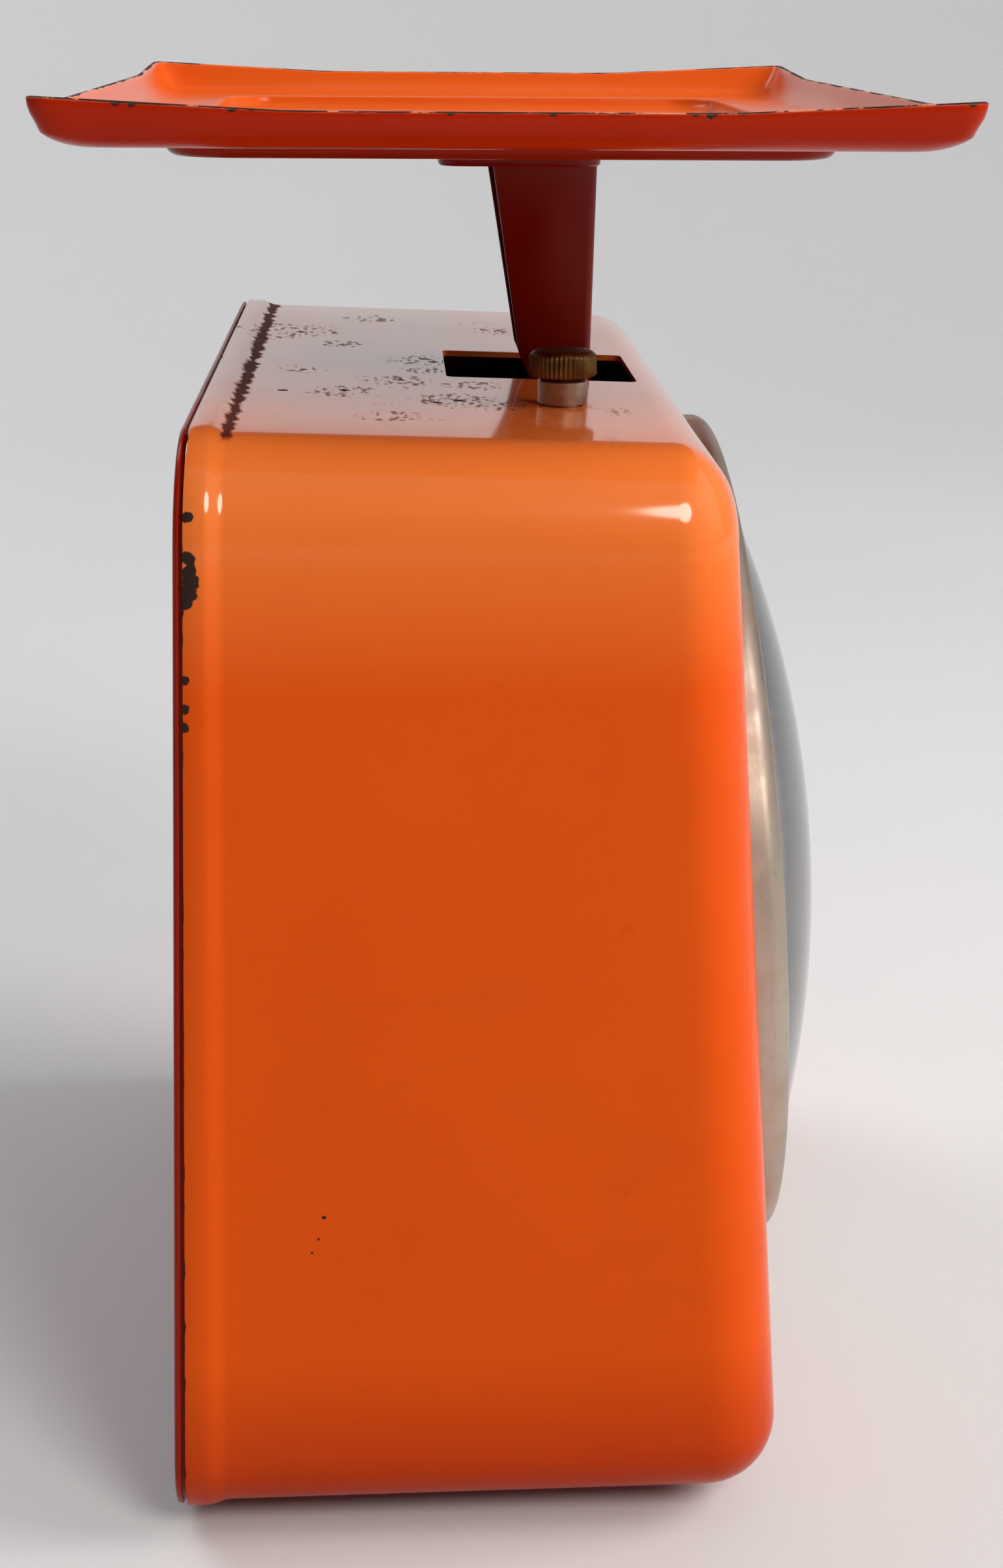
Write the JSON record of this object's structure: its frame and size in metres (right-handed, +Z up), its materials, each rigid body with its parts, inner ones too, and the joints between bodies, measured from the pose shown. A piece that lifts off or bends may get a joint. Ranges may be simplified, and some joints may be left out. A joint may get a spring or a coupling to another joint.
{
  "type": "bench scale",
  "caption": "Spring bench scale with an enamelled steel case, a round domed dial, a lift-off tray on a sprung column and a brass zero knob.",
  "frame": {"origin": "on the table under the middle of the tray", "axes": "+Z up, -Y out of the dial, +X to the right as the dial is read"},
  "size_m": [0.2246, 0.153, 0.2667],
  "materials": {
    "orange_enamel": "glossy orange enamel on pressed steel, chipped at the edges",
    "bezel_metal": "dull worn plating",
    "clear_lens": "clear domed window",
    "dial_white": "satin white with printed divisions",
    "pointer_black": "satin black",
    "bare_steel": "bright zinc-plated steel",
    "spring_steel": "drawn spring wire",
    "aged_brass": "tarnished brass",
    "foot_rubber": "matt black rubber"
  },
  "bodies": {
    "case": {"case_shell": "orange_enamel", "back_cover": "orange_enamel", "back_cover_screw_1": "bare_steel", "back_cover_screw_2": "bare_steel", "back_cover_screw_3": "bare_steel", "back_cover_screw_4": "bare_steel", "dial_bezel": "bezel_metal", "dial_lens": "clear_lens", "dial_plate": "dial_white", "dial_screw_1": "bare_steel", "dial_screw_2": "bare_steel", "bridge_pillar_1": "aged_brass", "bridge_pillar_2": "aged_brass", "bridge_screw_1": "bare_steel", "bridge_screw_2": "bare_steel", "movement_bridge": "bare_steel", "front_bush": "aged_brass", "rear_bush": "aged_brass", "chassis_frame": "bare_steel", "chassis_screw_1": "bare_steel", "chassis_screw_2": "bare_steel", "chassis_screw_3": "bare_steel", "chassis_screw_4": "bare_steel", "foot_1": "foot_rubber", "foot_2": "foot_rubber", "foot_3": "foot_rubber", "foot_4": "foot_rubber", "zero_collar": "aged_brass", "spring_post": "bare_steel", "upper_pivot_pin": "bare_steel", "lower_pivot_pin": "bare_steel", "spring_left": "spring_steel", "spring_right": "spring_steel"},
    "platform": {"tray_support": "orange_enamel", "column": "orange_enamel", "cross_bar": "bare_steel", "rack": "aged_brass", "rack_screw_1": "bare_steel", "rack_screw_2": "bare_steel", "upper_column_pin": "bare_steel", "lower_column_pin": "bare_steel"},
    "tray": {"tray": "orange_enamel"},
    "pointer": {"arbor": "bare_steel", "pinion": "aged_brass", "pointer": "pointer_black", "pointer_cap": "aged_brass"},
    "upper_lever": {"upper_lever": "bare_steel"},
    "lower_lever": {"lower_lever": "bare_steel"},
    "zero_knob": {"zero_knob": "aged_brass", "zero_screw": "bare_steel"},
    "hanger": {"hanger_nut": "aged_brass"}
  },
  "joints": [
    {"name": "tray_drop", "type": "slide", "parent": "case", "child": "platform", "axis": [0, 0, -1], "range_m": [0, 0.02], "stiffness_N_per_m": 4900, "springref_m": -0.003, "deforming": ["spring_left", "spring_right"]},
    {"name": "tray_lift", "type": "slide", "parent": "platform", "child": "tray", "axis": [0, 0, 1], "range_m": [0, 0.04]},
    {"name": "pointer_spin", "type": "hinge", "parent": "case", "child": "pointer", "pos_m": [0, -0.04767, 0.109], "axis": [0, 0.9972, -0.0753], "range_deg": [0, 358]},
    {"name": "upper_lever_swing", "type": "hinge", "parent": "case", "child": "upper_lever", "pos_m": [0, 0.0335, 0.14997], "axis": [1, 0, 0], "range_deg": [0, 23]},
    {"name": "lower_lever_swing", "type": "hinge", "parent": "case", "child": "lower_lever", "pos_m": [0, 0.0335, 0.06797], "axis": [1, 0, 0], "range_deg": [0, 23]},
    {"name": "zero_turn", "type": "hinge", "parent": "case", "child": "zero_knob", "pos_m": [-0.0516, -0.0128, 0.214], "axis": [0, 0, 1], "range_deg": [-540, 540]},
    {"name": "hanger_slide", "type": "slide", "parent": "case", "child": "hanger", "axis": [0, 0, 1], "range_m": [-0.0013, 0.0013]}
  ],
  "couplings": [
    {"joint": "pointer_spin", "follows": "tray_drop", "rad_per_m": 311.61},
    {"joint": "upper_lever_swing", "follows": "tray_drop", "rad_per_m": 20},
    {"joint": "lower_lever_swing", "follows": "tray_drop", "rad_per_m": 20},
    {"joint": "hanger_slide", "follows": "zero_turn", "m_per_rad": -0.00012732}
  ]
}
